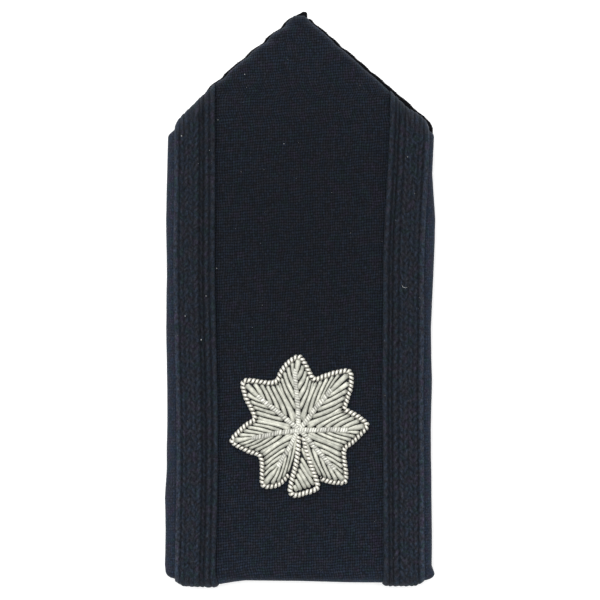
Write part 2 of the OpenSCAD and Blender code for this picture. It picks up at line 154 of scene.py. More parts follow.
def lay_grid(shape, rows, tones=1):
    """Lay a net of quads over rows of points. Its UV map measures the surface in millimetres,
    across from the middle column and along from the first row. Tones are how light or dark it is
    painted, for its colour and for painted light and shade, in one number or in one for each
    point."""
    last_column, last_row = len(rows[0]) - 1, len(rows) - 1
    middle = last_column // 2
    along = [0]
    for low, high in zip(rows, rows[1:]):
        along.append(along[-1] + (high[middle] - low[middle]).length)
    across = []
    for row in rows:
        run = [0]
        for left, right in zip(row, row[1:]):
            run.append(run[-1] + (right - left).length)
        across.append([length - run[middle] for length in run])
    uv_map = shape.loops.layers.uv.verify()
    tone = shape.verts.layers.float.get("tone") or shape.verts.layers.float.new("tone")
    net = bmesh.ops.create_grid(shape, x_segments=last_column, y_segments=last_row, size=0.5)
    for vert in net["verts"]:
        i = round((vert.co.x + 0.5) * last_column)
        j = round((vert.co.y + 0.5) * last_row)
        vert.co = rows[j][i]
        vert[tone] = tones if isinstance(tones, (int, float)) else tones[j][i]
        for loop in vert.link_loops:
            loop[uv_map].uv = (across[j][i], along[j])


def heading_at(line, k):
    """The way that a line of points runs at its point k."""
    return (line[min(k + 1, len(line) - 1)] - line[max(k - 1, 0)]).normalized()


def boxed(angle, boxy):
    """Sine and cosine of an angle round a section, round where boxy is 1 and squarer where
    it is less."""
    parts = math.sin(angle), math.cos(angle)
    return [math.copysign(abs(part) ** boxy, part) for part in parts]


def lay_tube(shape, line, sides, halves, boxy=1, tone=1):
    """Lay a closed tube along a line of points. Halves gives its half width and half height
    at each point, and the tube ends in a point where both are 0. Boxy squares its section."""
    rings = []
    for k, (centre, (half_width, half_height)) in enumerate(zip(line, halves)):
        heading = heading_at(line, k)
        sideways = heading.cross(UP).normalized()
        upward = sideways.cross(heading)
        ring = []
        for i in range(sides + 1):
            out, up = boxed(2 * math.pi * i / sides, boxy)
            ring.append(centre + sideways * half_width * out + upward * half_height * up)
        rings.append(ring)
    lay_grid(shape, rings, tone)


def thicken(shape, height):
    """Give a flat face a thickness, upwards."""
    body = bmesh.ops.extrude_face_region(shape, geom=shape.faces[:])
    risen = [part for part in body["geom"] if isinstance(part, bmesh.types.BMVert)]
    bmesh.ops.translate(shape, vec=(0, 0, height), verts=risen)


BOARD_L = 127.6
END_Y = -63.525
TIP_Y = END_Y + BOARD_L
STRAP_W = 24
STRAP_L = 100
STRAP_TOP = 1.4
STRAP_UNDER = 0.12
STRAP_IN = 4
STRAP_MID = END_Y + STRAP_IN + STRAP_L / 2
STRAP_ROUND = 64
STRAP_BEVEL = 0.3
strap_run = (STRAP_L - STRAP_W) / 2

strap_shape = bmesh.new()
bmesh.ops.create_circle(strap_shape, cap_ends=True, segments=STRAP_ROUND, radius=STRAP_W / 2)
for vert in strap_shape.verts:
    vert.co.y += math.copysign(strap_run, vert.co.y + MERGE) + STRAP_MID
    vert.co.z = STRAP_UNDER
thicken(strap_shape, STRAP_TOP - STRAP_UNDER)
rims = [edge for edge in strap_shape.edges if abs(edge.verts[0].co.z - edge.verts[1].co.z) < MERGE]
bmesh.ops.bevel(
    strap_shape, geom=rims, offset=STRAP_BEVEL, segments=3, profile=0.5, material=-1,
    affect="EDGES",
)


def speckles(tree, scale, detail):
    """Uneven shares over a piece, in patches of about one metre divided by scale."""
    inputs = {"Vector": add_node(tree, "TexCoord", {}).outputs["Object"]}
    return add_node(tree, "TexNoise", {**inputs, "Scale": scale, "Detail": detail}).outputs["Fac"]


def finish_surface(tree, shader, colour, height, strength, depth):
    """Give a finish its colour, and a relief of some strength and of a depth in metres."""
    relief = add_node(tree, "Bump", {"Height": height, "Strength": strength, "Distance": depth})
    tree.links.new(colour, shader.inputs["Base Color"])
    tree.links.new(relief.outputs["Normal"], shader.inputs["Normal"])


leather, tree, shader = new_finish("black_leather", Roughness=0.55, Specular_IOR_Level=0.4)
spot = add_node(tree, "TexCoord", {}).outputs["Object"]
pores = add_node(tree, "TexVoronoi", {"Vector": spot, "Scale": 2200}).outputs["Distance"]
worn = blend(tree, speckles(tree, 420, 5), (0.008, 0.008, 0.009), (0.03, 0.028, 0.027))
finish_surface(tree, shader, worn, pores, 0.35, 0.0001)

strap = make_piece("leather_strap", strap_shape, leather)
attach(strap, "root")
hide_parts("fastening_strap")


def turns_across(tree, scale, uneven, direction):
    """Bands over a thread or wire, such as its plies or turns."""
    spot = add_node(tree, "TexCoord", {}).outputs["UV"]
    inputs = {"Vector": spot, "Scale": scale, "Distortion": uneven}
    return add_node(tree, "TexWave", inputs, bands_direction=direction).outputs["Fac"]


thread_finish, tree, shader = new_finish("black_thread", Roughness=0.8, Specular_IOR_Level=0.15)
plies = turns_across(tree, 1.6, 0.6, "DIAGONAL")
ply_tint = blend(tree, plies, (0.002, 0.002, 0.003), (0.009, 0.009, 0.012))
finish_surface(tree, shader, ply_tint, plies, 0.5, 0.00005)

STITCH_PITCH = 3.2
STITCH_L = 2.3
STITCH_INSET = 1.6
THREAD_HALF = 0.12
THREAD_SIDES = 6
bend = STRAP_W / 2 - STITCH_INSET
loop_length = 4 * strap_run + 2 * math.pi * bend


def on_strap_line(run):
    """A point on the strap's stitching line, run millimetres round from the lower right."""
    if run < 2 * strap_run:
        return Vector((bend, STRAP_MID - strap_run + run, 0))
    run -= 2 * strap_run
    if run < math.pi * bend:
        angle = run / bend
        return Vector((bend * math.cos(angle), STRAP_MID + strap_run + bend * math.sin(angle), 0))
    back = on_strap_line(run - math.pi * bend)
    return Vector((-back.x, 2 * STRAP_MID - back.y, 0))


strap_stitches = bmesh.new()
for k in range(round(loop_length / STITCH_PITCH)):
    start, end = on_strap_line(k * STITCH_PITCH), on_strap_line(k * STITCH_PITCH + STITCH_L)
    start.z = end.z = STRAP_UNDER
    line = [start.lerp(end, share) for share in (0, 0.25, 0.5, 0.75, 1)]
    halves = [(0, 0), *[(THREAD_HALF, THREAD_HALF)] * 3, (0, 0)]
    lay_tube(strap_stitches, line, THREAD_SIDES, halves)
stitching = make_piece("strap_stitches", strap_stitches, thread_finish)
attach(stitching, "root")


# The backing is the black cloth underside of the board. It is turned in all round and
# overcast with black thread, so its edge is bumpy where it peeps out past the slants.
BOARD_W = 60.8
SLANT = math.radians(40.5)
half_tip = {-1: 1.13, 1: 0.31}
side_shares = [0, 0.025, 0.09, 0.15, 0.2, 0.27, 0.36, 0.45, 0.54, 0.64, 0.72, 0.8, 1]
side_ins = {
    -1: [0.15, -0.1, 0.08, -0.05, 0.35, 0.48, 0.45, 0.2, 0.38, 0.2, 0.42, 0.65, 0.65],
    1: [-0.25, 0.72, 0.68, 0.75, 0.82, 0.9, 0.68, 0.86, 0.33, -0.1, 0.58, 0.1, 0.1],
}
edge_stitches = {
    -1: [(61.5, 0.42), (58.1, 0.36), (54.6, 0.2), (50.2, 0.3), (46.7, 0.15)],
    1: [(62.2, 0.12), (57.4, 0.18), (51.9, 0.1), (47.3, 0.08), (42.6, 0.2)],
}
STITCH_REACH = 0.8
braid_inner = {-1: 19.1, 1: 20.4}
pull_xs = {-1: [19.1, 24.4, 27.5], 1: [20.4, 24.3, 26.4, 28]}
pulls = {-1: [1.12, 1.65, 1.9], 1: [1.15, 1.5, 1.05, 0.95]}
PULL_EASE = 0.25
BACKING_Z = 1.5
BACKING_T = 1
BACKING_BACK = 0.5
peep = {-1: 0.55, 1: 0.92}
backing_lean = {-1: 0.14, 1: 0}
backing_soft = {-1: 4, 1: 2}
BACKING_CORNER = 3.4


def held(value):
    """A share, held between 0 and 1."""
    return max(0, min(1, value))


def mix(a, b, share):
    """A value that lies a share of the way from a to b."""
    return a + (b - a) * share


def soft_min(a, b, width):
    """The smaller of two lengths, with a rounded changeover."""
    share = held(0.5 + 0.5 * (b - a) / width)
    return mix(b, a, share) - width * share * (1 - share)


def wobble(x, y, size, depth):
    """An uneven shift of up to depth, over patches of about that size."""
    return depth * noise.noise(Vector((x / size, y / size, size)))


def side_half(y, side):
    """Half width of the board at y, between its long sides. Side is -1 left and 1 right."""
    return BOARD_W / 2 - numpy.interp((y - END_Y) / BOARD_L, side_shares, side_ins[side])


def slant_half(y, side, out):
    """Half width at y between the slants, moved out by a distance."""
    return half_tip[side] + (TIP_Y - y) / math.tan(SLANT) + out / math.sin(SLANT)


def slant_y(x, side):
    """The y at which the slanted edge is x away from the middle."""
    return TIP_Y - (x - half_tip[side]) * math.tan(SLANT)


def braid_pull(x, side):
    """How far the braid draws in the slanted edge under it, x away from the middle."""
    return numpy.interp(x, pull_xs[side], pulls[side])


def cloth_pull(x, side):
    """The same for the cloth, which the braid leaves alone up to its inner edge."""
    return braid_pull(x, side) * held((x - braid_inner[side] + PULL_EASE) / (2 * PULL_EASE))


pulled_halves = {}
for side in (-1, 1):
    steps = [0] + [braid_inner[side] + PULL_EASE * k for k in range(-1, 60)]
    pulled_halves[side] = ([x + cloth_pull(x, side) / math.sin(SLANT) for x in steps], steps)


def stitch_pull(y, side):
    """How far a stitch draws the slanted edge in at y."""
    stitches = edge_stitches[side]
    return sum(depth * math.exp(-((y - spot) / STITCH_REACH) ** 2) for spot, depth in stitches)


def outline_half(y, side, low, out_side, slants, soft, corner_r):
    """Half width of an outline that ends at low, from that of its slants. Soft rounds its
    shoulders and corner_r its square corners."""
    corner = 1 - held((y - low) / corner_r)
    sides = side_half(y, side) + out_side + wobble(side * 9, y, 6, 0.1)
    return soft_min(sides, slants, soft) - corner_r * (1 - math.sqrt(1 - corner ** 2))


def spread(count):
    """Shares from -1 to 1 that lie close together near both ends."""
    return [-math.cos(math.pi * k / count) for k in range(count + 1)]


BUMP_PITCH = 2.7
BUMP_MEAN = 0.6
bump_depth = {-1: 0.06, 1: 0.15}
bump_start = {-1: 1, 1: -2.35}
RIM_ROUND = 0.5
BACKING_SIDE_IN = 0.2
KNOB_HALF = 1.66
KNOB_ROUND = 0.48
KNOB_DROP = 0.6
KNOB_STEP = 0.15
TIP_CUT = 1.25
TIP_CUT_DROP = 0.5
TIP_CUT_RUN = 1.3
TIP_RISE = 0.2
backing_low = END_Y + BACKING_BACK
backing_high = TIP_Y + peep[1] + TIP_RISE
backing_ys = [mix(backing_low, backing_high, (1 + share) / 2) for share in spread(420)]
backing_shares = spread(44)


def backing_half(y, side):
    """Half width of the backing, with a bump between each two stitches of its edge. At the
    tip it is cut aslant on the left and has a small knob on the right."""
    wave = abs(math.sin(math.pi * (y - bump_start[side]) / BUMP_PITCH))
    out = peep[side] + bump_depth[side] * (wave - BUMP_MEAN) - stitch_pull(y, side)
    out -= backing_lean[side] * max(0, slant_half(y, side, 0) - braid_inner[side])
    slants = slant_half(y, side, out)
    soft = backing_soft[side]
    half = outline_half(y, side, backing_low, -BACKING_SIDE_IN, slants, soft, BACKING_CORNER)
    if side < 0:
        return half - TIP_CUT * held((y - TIP_Y + TIP_CUT_DROP) / TIP_CUT_RUN)
    knob_half = KNOB_HALF - 0.5 * held((y - backing_high) / KNOB_ROUND + 1) ** 2
    return mix(half, knob_half, held((y - TIP_Y + KNOB_DROP) / KNOB_STEP))


backing_rows = []
for y in backing_ys:
    left = backing_half(y, -1)
    right = backing_half(y, 1)
    from_end = min(y - backing_low, backing_high - y)
    row = []
    for face_up, shares in ((1, backing_shares), (-1, backing_shares[-2::-1])):
        for share in shares:
            x = (right - left) / 2 + share * (right + left) / 2
            depth = held(min((1 - abs(share)) * (right + left) / 2, from_end) / RIM_ROUND)
            half_t = BACKING_T / 2 * math.sqrt(1 - (1 - depth) ** 2)
            row.append(Vector((x, y, BACKING_Z + BACKING_T / 2 + face_up * half_t)))
    backing_rows.append(row)
backing_shape = bmesh.new()
lay_grid(backing_shape, backing_rows)


THREAD_DRIFT = 0.9
THREAD_RISE = 0.6
HOLE_CUT = 0.2
THREAD_UNEVEN = 0.6
THREAD_LEAST = 0.7
OVER_RISE = 0.04


def calc(tree, operation, first, second=0):
    """One step of arithmetic in a material."""
    return add_node(tree, "Math", {0: first, 1: second}, operation=operation).outputs[0]


def weave_height(tree, pitch_across, pitch_along, lean):
    """Height of a plain weave over the UV map, low in the holes between its threads and 1 on
    them. Lean is how far its cross threads run uphill."""
    chart = add_node(tree, "TexCoord", {}).outputs["UV"]
    drift = add_node(tree, "TexNoise", {"Vector": chart, "Scale": 0.25, "Detail": 2})
    inputs = {0: drift.outputs["Color"], 1: (THREAD_DRIFT,) * 3}
    pulled = add_node(tree, "VectorMath", inputs, operation="MULTIPLY").outputs[0]
    spot = add_node(tree, "VectorMath", {0: chart, 1: pulled}, operation="ADD").outputs[0]
    parts = add_node(tree, "SeparateXYZ", {"Vector": spot}).outputs
    uphill = calc(tree, "SUBTRACT", parts["Y"], calc(tree, "MULTIPLY", parts["X"], lean))
    across = calc(tree, "DIVIDE", parts["X"], pitch_across)
    along = calc(tree, "DIVIDE", uphill, pitch_along)
    threads = []
    for place in (across, along):
        wave = calc(tree, "SINE", calc(tree, "MULTIPLY", place, math.pi))
        threads.append(calc(tree, "ABSOLUTE", wave))
    raised = calc(tree, "MULTIPLY", calc(tree, "ADD", *threads), THREAD_RISE)
    both = calc(tree, "MAXIMUM", calc(tree, "SUBTRACT", raised, HOLE_CUT), 0)
    cell = [calc(tree, "FLOOR", across), calc(tree, "FLOOR", along)]
    crossing = add_node(tree, "CombineXYZ", {"X": cell[0], "Y": cell[1]}).outputs[0]
    uneven = add_node(tree, "TexWhiteNoise", {"Vector": crossing}, noise_dimensions="2D")
    lively = calc(tree, "MULTIPLY", uneven.outputs["Value"], THREAD_UNEVEN)
    lively = calc(tree, "ADD", lively, THREAD_LEAST)
    over = calc(tree, "COSINE", calc(tree, "MULTIPLY", calc(tree, "ADD", *cell), math.pi))
    over = calc(tree, "MULTIPLY", over, OVER_RISE)
    return calc(tree, "ADD", calc(tree, "MULTIPLY", both, lively), over)


backing_cloth, tree, shader = new_finish(
    "black_cloth", Roughness=0.9, Specular_IOR_Level=0.1, Sheen_Weight=0.03, Sheen_Roughness=0.5
)
threads = weave_height(tree, 0.38, 0.38, 0)
colouring = blend(tree, threads, (0.001, 0.001, 0.0014), (0.004, 0.004, 0.0055))
finish_surface(tree, shader, colouring, threads, 0.6, 0.0001)

backing = make_piece("backing_cloth", backing_shape, backing_cloth)
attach(backing, "root")
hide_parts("backing")

WHIP_LEAN = 0.55
WHIP_FROM = 2
WHIP_TO = 1
backing_top = BACKING_Z + BACKING_T
whip_stops = [
    (0.9, -1, backing_top - 0.04), (0.3, -1 / 3, backing_top + 0.02),
    (0.03, 0, BACKING_Z + BACKING_T / 2),
    (0.3, 1 / 3, BACKING_Z - 0.02), (0.9, 1, BACKING_Z + 0.04),
]
whip_halves = [(0, 0), (0.12, 0.12), (0.13, 0.13), (0.12, 0.12), (0, 0)]
whip_shape = bmesh.new()
for side in (-1, 1):
    y = backing_low + WHIP_FROM
    while y < backing_high - WHIP_TO:
        ahead = y + BUMP_PITCH / 3
        edge = Vector((side * backing_half(y, side), y, 0))
        heading = (Vector((side * backing_half(ahead, side), ahead, 0)) - edge).normalized()
        outward = heading.cross(UP) * side
        path = []
        for inward, lean, z in whip_stops:
            path.append(edge - outward * inward + heading * WHIP_LEAN * lean + Vector((0, 0, z)))
        lay_tube(whip_shape, path, THREAD_SIDES, whip_halves)
        y += BUMP_PITCH / 2
whipping = make_piece("edge_whipping", whip_shape, thread_finish)
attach(whipping, "root")


# The board itself is a stiff pad covered in dark navy plain-weave cloth, drawn over a rolled
# edge. The cloth is gathered a little along the slants, between the stitches that hold it.
BOARD_T = 3.4
EDGE_WALL = 1
BOARD_Z = 2.6
ROLL = BOARD_T - EDGE_WALL
ROLL_Z = BOARD_Z + EDGE_WALL
CROWN = 0.5
CROWN_RUN = 3 * ROLL
COVER_SOFT = 0.8
CORNER_R = 1.3
PUCKER_SHARE = 0.5
PUCKER_REACH = 2.4
PUCKER_IN = 0.8
tip_out = {-1: 0.1, 1: 0.42}
TIP_OUT_RUN = 18
END_DIP_RUN = 9
end_dip_xs = [-30.4, -28.5, -26, -19.5, -18, -15, -12.4, 0, 11, 19, 26, 28.5, 30.4]
end_dips = [-1.3, -0.8, 0, 0.5, 0.5, 0, -0.34, -0.2, 0.1, 0.15, 0.1, -0.42, -1.1]


def cloth_out(y, side):
    """How far the cloth stands out past the straight slant at y, between its stitches."""
    return tip_out[side] * held((y - TIP_Y + TIP_OUT_RUN) / TIP_OUT_RUN) - stitch_pull(y, side)


def edge_distance(x, y):
    """How far a point of the board lies in from its edge."""
    side = -1 if x < 0 else 1
    from_side = side_half(y, side) - abs(x)
    from_end = y - END_Y
    near = min(from_side, from_end)
    if max(from_side, from_end) < CORNER_R:
        near = CORNER_R - math.hypot(CORNER_R - from_side, CORNER_R - from_end)
    out = cloth_out(y, side) - cloth_pull(abs(x), side)
    from_slant = (slant_half(y, side, out) - abs(x)) * math.sin(SLANT)
    return max(0, min(near, from_slant, TIP_Y - y))


def face_z(x, y):
    """Height of the padded face, without gathers."""
    inward = edge_distance(x, y)
    roll = ROLL * math.sqrt(1 - (1 - held(inward / ROLL)) ** 2)
    crown = CROWN * (1 - (2 * x / BOARD_W) ** 2) * held(inward / CROWN_RUN)
    return ROLL_Z + roll + crown


def cover_point(share, y, foot):
    """A point of the cover, share of the way across from -1 to 1, or below it at the foot."""
    halves = []
    for way in (-1, 1):
        slants = numpy.interp(slant_half(y, way, cloth_out(y, way)), *pulled_halves[way])
        halves.append(outline_half(y, way, END_Y, 0, slants, COVER_SOFT, CORNER_R))
    left, right = halves
    x = (right - left) / 2 + share * (right + left) / 2
    side = -1 if x < 0 else 1
    inward = max(0, (slant_half(y, side, 0) - abs(x)) * math.sin(SLANT))
    pucker = math.exp(-((inward - PUCKER_IN) / PUCKER_REACH) ** 2)
    pucker *= PUCKER_SHARE * stitch_pull(y, side)
    z = face_z(x, y) - pucker + wobble(x, y, 9, 0.05) + wobble(x, y, 3, 0.02)
    dip = numpy.interp(x, end_dip_xs, end_dips) * held((END_Y - y) / END_DIP_RUN + 1)
    return Vector((x, y - dip, BOARD_Z if foot else z))


cover_ys = [END_Y + BOARD_L * (1 + share) / 2 for share in spread(330)]
cover_columns = [(-1, True), *[(share, False) for share in spread(150)], (1, True)]
cover_rows = [[cover_point(share, END_Y, True) for share, _ in cover_columns]]
for y in cover_ys:
    cover_rows.append([cover_point(share, y, foot) for share, foot in cover_columns])
cover_rows.append([cover_point(share, TIP_Y, True) for share, _ in cover_columns])

# Painted highlight: the cloth is painted paler along its rolled edges, and paler still on the
# strip outside each braid, where the roll faces the light from the sides.
EDGE_HIGHLIGHT = 0.6
EDGE_HIGHLIGHT_W = 1.3
SIDE_LIGHTENING = 0.09
SIDE_LIGHTENING_X = 15
STRIP_W = 3.2
STRIP_SOFT = 0.8
# Painted highlight on the strip outside each braid, where the roll faces the side light.
strip_highlight_tones = {-1: 2.2, 1: 2.4}
# The cloth is painted lighter towards the square end, and a little lighter towards the sides.
lengthwise_tone_ys = [-63.5, -62.3, -60.5, -58, -54, -45, -7, 11, 29, 38, 47, 56]
lengthwise_tones = [1.65, 1.6, 1.46, 1.36, 1.26, 1.16, 0.87, 0.83, 0.83, 0.9, 1, 1.14]


def cover_tone(spot):
    """How pale the cloth is painted: lighter towards the square end and the sides, with a painted
    highlight along its rolled edges and a stronger one on the strip outside each braid."""
    side = -1 if spot.x < 0 else 1
    lengthwise_tone = numpy.interp(spot.y, lengthwise_tone_ys, lengthwise_tones)
    lengthwise_tone *= 1 + SIDE_LIGHTENING * held(abs(spot.x) / SIDE_LIGHTENING_X) ** 2
    # Painted highlight along the rolled edges.
    edge_highlight = 1 + EDGE_HIGHLIGHT * held(1 - edge_distance(spot.x, spot.y) / EDGE_HIGHLIGHT_W)
    # Painted highlight on the strip outside each braid.
    strip = held((STRIP_W - side_half(spot.y, side) + abs(spot.x)) / STRIP_SOFT)
    return mix(lengthwise_tone * edge_highlight, strip_highlight_tones[side], strip)


def close_ends(shape):
    """Merge a net's seams and fill its open ends."""
    bmesh.ops.remove_doubles(shape, verts=shape.verts, dist=MERGE)
    rim = [edge for edge in shape.edges if edge.is_boundary]
    bmesh.ops.edgeloop_fill(shape, edges=rim)


cover_tones = [[cover_tone(spot) for spot in row] for row in cover_rows]
cover_shape = bmesh.new()
lay_grid(cover_shape, cover_rows, cover_tones)
close_ends(cover_shape)


def dye_range(tree, share, stops):
    """A colour that runs through stops, each a place and a red, green and blue."""
    made = add_node(tree, "ValToRGB", {"Fac": share})
    ramp = made.color_ramp
    for element, (place, colour) in zip(ramp.elements, (stops[0], stops[-1])):
        element.position = place
        element.color = (*colour, 1)
    for place, colour in stops[1:-1]:
        ramp.elements.new(place).color = (*colour, 1)
    return made.outputs["Color"]


def tone_of(tree):
    """How light each point of a piece is."""
    return add_node(tree, "Attribute", {}, attribute_name="tone").outputs["Fac"]


def scaled(tree, colour, share):
    """A colour made lighter or darker by a share."""
    return add_node(tree, "VectorMath", {0: colour, "Scale": share}, operation="SCALE").outputs[0]


def navy_yarn(tree, height, dark, light, tint_scale):
    """Mix the colours of dyed yarn: dark in the holes, light on the threads, and patches of
    greener, bluer, browner and redder dye as in any old navy."""
    colouring = dye_range(tree, speckles(tree, tint_scale, 3), [
        (0.34, (0.78, 1.08, 0.86)), (0.44, (0.9, 0.99, 1.16)),
        (0.56, (1.08, 1, 0.86)), (0.66, (1.3, 0.94, 1.12)),
    ])
    inputs = {"Factor": 1, "A": blend(tree, height, dark, light), "B": colouring}
    tinted = add_node(tree, "Mix", inputs, data_type="RGBA", blend_type="MULTIPLY")
    inputs = {"Value": speckles(tree, 3200, 2), "From Min": 0.3, "From Max": 0.7}
    fleck = add_node(tree, "MapRange", {**inputs, "To Min": 0.5, "To Max": 1.45})
    return scaled(tree, tinted.outputs["Result"], fleck.outputs[0])


# Where the painted tone is paler than this, on the painted highlights of the edges and strips and
# towards the square end, the weave's holes fill in, so the cloth there shows paler and flatter.
PALE_FLAT_FROM = 1.3
PALE_FLAT_RATE = 0.7
PALE_FLAT_MOST = 0.6


navy_cloth, tree, shader = new_finish(
    "navy_cloth", Roughness=0.85, Specular_IOR_Level=0.12, Sheen_Weight=0.05,
    Sheen_Roughness=0.45, Sheen_Tint=(0.6, 0.75, 1, 1),
)
tone = tone_of(tree)
# Fill the weave's holes where the cloth is painted pale.
flat_where_pale = calc(tree, "MULTIPLY", calc(tree, "SUBTRACT", tone, PALE_FLAT_FROM), PALE_FLAT_RATE)
flat_where_pale = calc(tree, "MINIMUM", flat_where_pale, PALE_FLAT_MOST)
threads = calc(tree, "MAXIMUM", weave_height(tree, 0.546, 0.64, 0.071), flat_where_pale)
yarn = navy_yarn(tree, threads, (0.0004, 0.0005, 0.0009), (0.0098, 0.013, 0.0209), 560)
finish_surface(tree, shader, scaled(tree, yarn, tone), threads, 0.5, 0.00012)

cover = make_piece("board_cloth", cover_shape, navy_cloth)
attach(cover, "root")
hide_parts("board_cover")


# Two flat ribbed braids run along the sides, each a band of eight plaited ribs. They are
# sewn down inside the edges and turned over the slant at one end and the square edge at
# the other.
BRAID_W = 9.1
BRAID_T = 1.25
BRAID_MARGIN = 2.25
LAY_GAP = 0.1
ROLL_EASE = 0.35
TURN_R = 0.9
TURN_SHARE = 0.14
SWAY_BLUR = 0.03
sway_shares = [0, 0.09, 0.18, 0.27, 0.36, 0.45, 0.54, 0.625, 0.71, 0.8, 0.86, 1]
sways = {
    -1: [0, -0.03, -0.056, -0.06, -0.034, 0, 0.027, 0.014, 0, 0, 0, 0],
    1: [-0.02, -0.036, -0.035, -0.05, -0.062, -0.034, -0.046, -0.01, 0.06, 0.113, 0.15, 0.15],
}
swell = {-1: 0.22, 1: 0.1}
SWELL_END = 0.8
flare = {-1: 1, 1: 0.5}
FLARE_FROM = 0.7
FLARE_RUN = 3.7
end_in = {-1: 0, 1: 0.3}
end_aslant = {-1: 0.4, 1: 0.1}
OUTER_UP = 1.1
OUTER_SHARE = 0.22
INNER_UP = 0.5
INNER_FROM = 0.85
rib_edges = {
    -1: [0, 0.13, 0.24, 0.355, 0.475, 0.615, 0.725, 0.865, 1],
    1: [0, 0.14, 0.26, 0.375, 0.495, 0.612, 0.765, 0.86, 1],
}
rib_tones = {
    -1: [1.05, 1, 1, 0.95, 1, 0.66, 0.92, 0.9],
    1: [1.05, 0.98, 0.98, 0.95, 1, 0.95, 0.73, 0.96],
}
# Painted highlight on the outer rib, paler towards the braid's outer edge.
OUTER_RIB_HIGHLIGHT = 0.75
HIGHLIGHT_SHARE = 0.11
rib_grooves = [0.15, 0.45, 0.28, 0.25, 0.27, 0.46, 0.5, 0.55, 0.25]
rib_strands = [0.04, 0.16, 0.18, 0.18, 0.18, 0.19, 0.1, 0.05]
# Painted shade in the partings between strands, for each rib.
strand_shades = [0.14, 0.5, 0.55, 0.55, 0.55, 0.55, 0.38, 0.16]
STRAND_PITCH = 1.62
STRAND_LEAN = 0.42
STRAND_SHIFT = 0.37
STRAND_UNEVEN = 0.85
COLUMNS_A_RIB = 7


def braid_sway(y, side):
    """How far a braid lies out from its straight way at y."""
    share = (y - END_Y) / BOARD_L
    near = numpy.interp([share - SWAY_BLUR, share + SWAY_BLUR], sway_shares, sways[side])
    return BRAID_W * (near[0] + near[1]) / 2


def braid_x(y, u, side):
    """Place across the board of a braid's column, u from 0 outside to 1 inside. The braid
    swells a little in the middle of the board, and its inner corner flares at the end."""
    width = BRAID_W + swell[side] * math.sin(math.pi * held((y - END_Y) / BOARD_L / SWELL_END))
    inner = held((u - FLARE_FROM) / (1 - FLARE_FROM))
    width += flare[side] * inner * held((END_Y + ROLL - y) / FLARE_RUN) ** 2
    return side * (BOARD_W / 2 - BRAID_MARGIN - u * width + braid_sway(y, side))


def slant_start(u, side):
    """Where a braid's column comes to the roll of the slant."""
    y = TIP_Y - BOARD_W / 2
    for _ in range(4):
        x = abs(braid_x(y, u, side))
        y = slant_y(x, side) - (ROLL + braid_pull(x, side)) / math.cos(SLANT)
    return y - TURN_R * max(0, 1 - u / TURN_SHARE) ** 2


def end_start(u, side):
    """Where a braid's column comes to the roll of the square end, or its drawn-up corner."""
    outer = OUTER_UP * max(0, 1 - u / OUTER_SHARE) ** 1.3
    inner = INNER_UP * held((u - INNER_FROM) / (1 - INNER_FROM)) ** 2
    return END_Y + ROLL + end_in[side] + end_aslant[side] * (1 - u) + outer + inner


def strands(u, run, side):
    """Height of the ribs and of their slanting strands, and how light they are painted: painted
    shade in the grooves and the partings between strands, and a painted highlight along the outer
    rib.
    """
    edges = rib_edges[side]
    rib = max(0, min(len(rib_strands) - 1, sum(u >= edge for edge in edges) - 1))
    low, high = edges[rib], edges[rib + 1]
    v = 2 * (u - low) / (high - low) - 1
    groove = rib_grooves[rib if v < 0 else rib + 1]
    lean = STRAND_LEAN if rib % 2 else -STRAND_LEAN
    uneven = STRAND_UNEVEN * noise.noise(Vector((run / 2.2, rib, side)))
    phase = run / STRAND_PITCH + lean * v + STRAND_SHIFT * rib + uneven
    parting = 1 - abs(math.sin(math.pi * phase)) ** 0.8
    height = -groove * abs(v) ** 2.4 - rib_strands[rib] * parting * (1 - 0.5 * v * v)
    # Painted shade: darker in the grooves and in the partings between strands.
    shade = (1 - 1.1 * groove * abs(v) ** 3) * (1 - strand_shades[rib] * parting)
    # Each rib's own tone, plus a painted highlight on the outer rib towards the braid's outer
    # edge.
    colouring = rib_tones[side][rib] + OUTER_RIB_HIGHLIGHT * held(1 - u / HIGHLIGHT_SHARE)
    return height, colouring * shade * (1 + wobble(u * 20, run, 0.8, 0.75))


def braid_point(u, stop, value, rise, side):
    """A point of a braid's column at one stop of its way, rise above the board. On the flat,
    value is the share of its way, and at a turn it is how far it has turned."""
    if stop == "flat":
        y = mix(end_start(u, side), slant_start(u, side), value)
        x = braid_x(y, u, side)
        return Vector((x, y, face_z(x - side * ROLL_EASE, y) + rise))
    at_end = stop.startswith("end")
    y = end_start(u, side) if at_end else slant_start(u, side)
    turned = math.sin(value)
    reach = (ROLL + rise) * turned
    x = braid_x(y - reach if at_end else y, u, side)
    z = mix(face_z(x - side * ROLL_EASE, y), ROLL_Z + ROLL, turned)
    z += (ROLL + rise) * math.cos(value) - ROLL
    if at_end:
        y += wobble(u * 31, side * 7, 2.2, 0.1) * turned - reach
    else:
        y += reach / math.cos(SLANT)
    return Vector((x, y, BOARD_Z if stop.endswith("foot") else z))


QUARTER = math.pi / 2
TURN_STOPS = 10
FLAT_STOPS = 520
turns = [QUARTER * k / TURN_STOPS for k in range(1, TURN_STOPS + 1)]
braid_stops = [("end_foot", QUARTER)]
braid_stops += [("end_turn", turn) for turn in reversed(turns)]
braid_stops += [("flat", k / FLAT_STOPS) for k in range(FLAT_STOPS + 1)]
braid_stops += [("slant_turn", turn) for turn in turns]
braid_stops += [("slant_foot", QUARTER)]
under_columns = [1, 0.75, 0.5, 0.25, 0]
# Painted shade on the braid's sides and underside.
UNDER_SHADE = 0.4
TURNED_RELIEF = 0.35
# The braids are painted lighter towards the square end, following the cloth.
BRAID_LENGTHWISE_TONE = 0.5
LENGTHWISE_TONE_MEAN = 0.85

